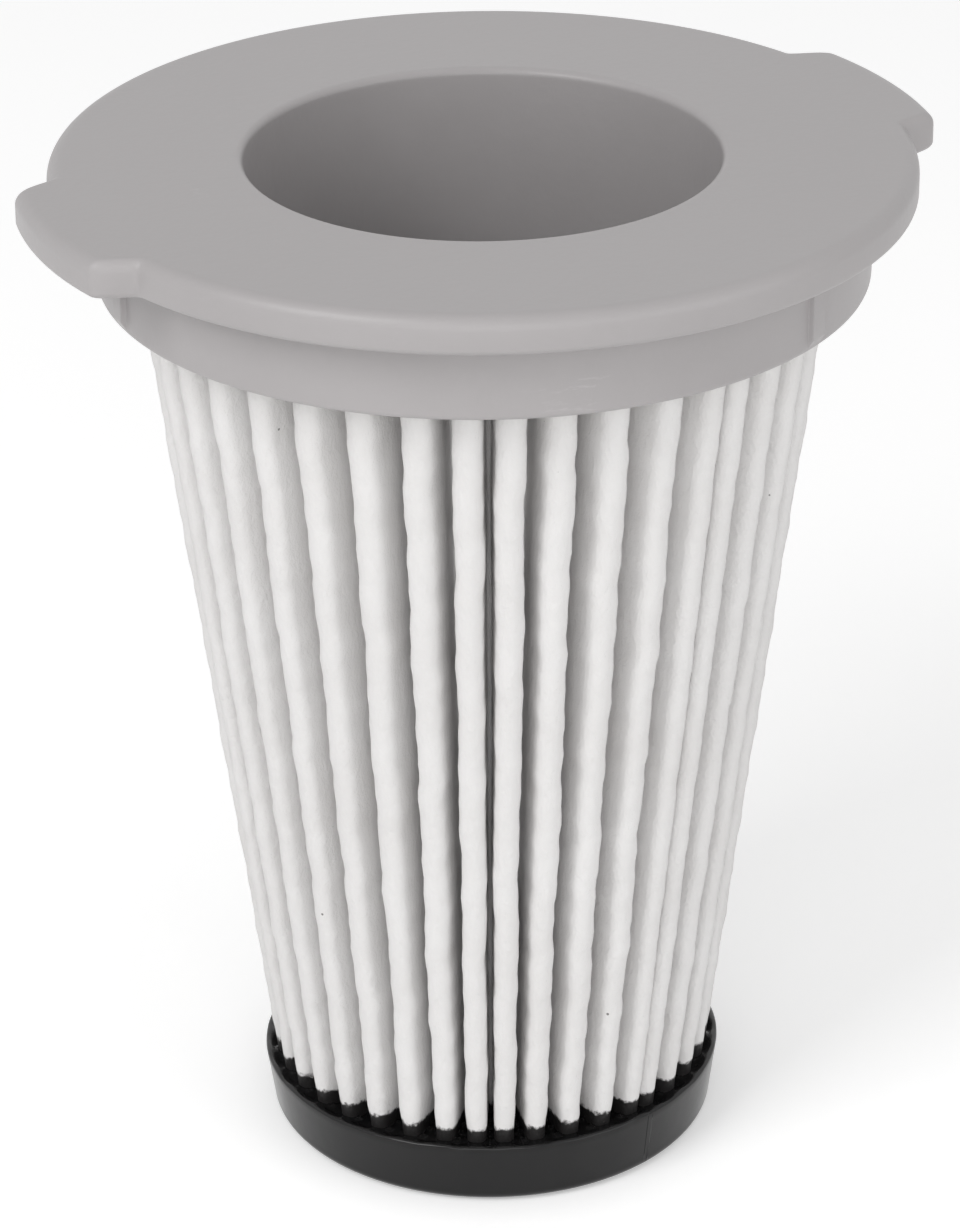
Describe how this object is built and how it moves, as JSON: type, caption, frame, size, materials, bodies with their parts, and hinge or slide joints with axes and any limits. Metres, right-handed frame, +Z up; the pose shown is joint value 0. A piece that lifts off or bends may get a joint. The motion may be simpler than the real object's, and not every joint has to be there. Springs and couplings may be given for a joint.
{
  "type": "stick vacuum filter",
  "caption": "Cone-shaped pleated filter cartridge with a grey eared flange and collar, an open throat and a black cast end cap.",
  "frame": {"origin": "middle of the end cap's flat foot, on the axis of the cone", "axes": "+Z up the axis, from the end cap to the flange; +X through one ear of the flange"},
  "size_m": [0.1006, 0.093, 0.1165],
  "materials": {
    "frame_plastic": "satin moulded grey",
    "filter_media": "soft non-woven white",
    "cast_resin": "glossy cast black",
    "adhesive": "cured cream adhesive"
  },
  "bodies": {
    "root": {"frame": "frame_plastic", "pleated_media": "filter_media", "end_cap": "cast_resin", "bonding_ring": "adhesive"}
  },
  "joints": []
}
